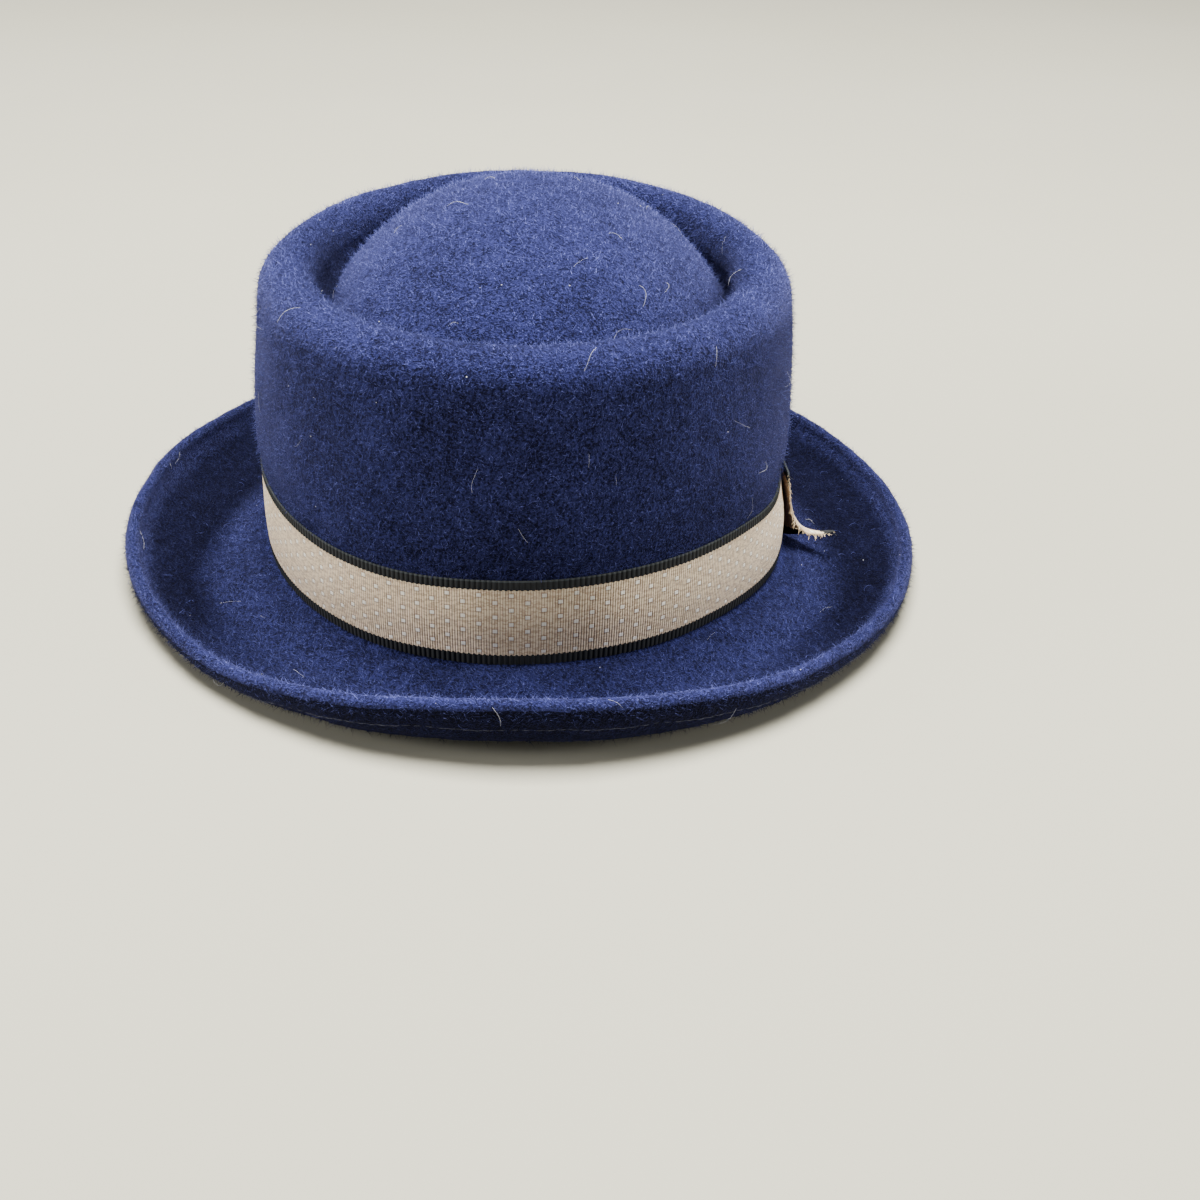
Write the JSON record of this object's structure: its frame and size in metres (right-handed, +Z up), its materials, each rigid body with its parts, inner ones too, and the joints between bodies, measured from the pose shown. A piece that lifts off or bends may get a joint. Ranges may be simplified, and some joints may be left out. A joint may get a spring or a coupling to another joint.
{
  "type": "pork-pie felt hat with ribbon band and side bow",
  "caption": "Wool felt hat with a telescope crown and a short curled brim, trimmed with a woven ribbon band and a flat side bow.",
  "frame": {"origin": "on the plane the hat rests on, below the middle of the brim", "axes": "+Z up; -Y the hat's front; +X the wearer's left, where the bow is"},
  "size_m": [0.2628, 0.2903, 0.1214],
  "materials": {
    "wool_felt": "matt navy wool felt with a short nap",
    "woven_ribbon": "champagne jacquard ribbon with satin dots and dark ribbed borders"
  },
  "bodies": {
    "root": {"felt_body": "wool_felt", "hat_band": "woven_ribbon", "bow_tail": "woven_ribbon", "bow_loop": "woven_ribbon", "bow_knot": "woven_ribbon"}
  },
  "joints": []
}
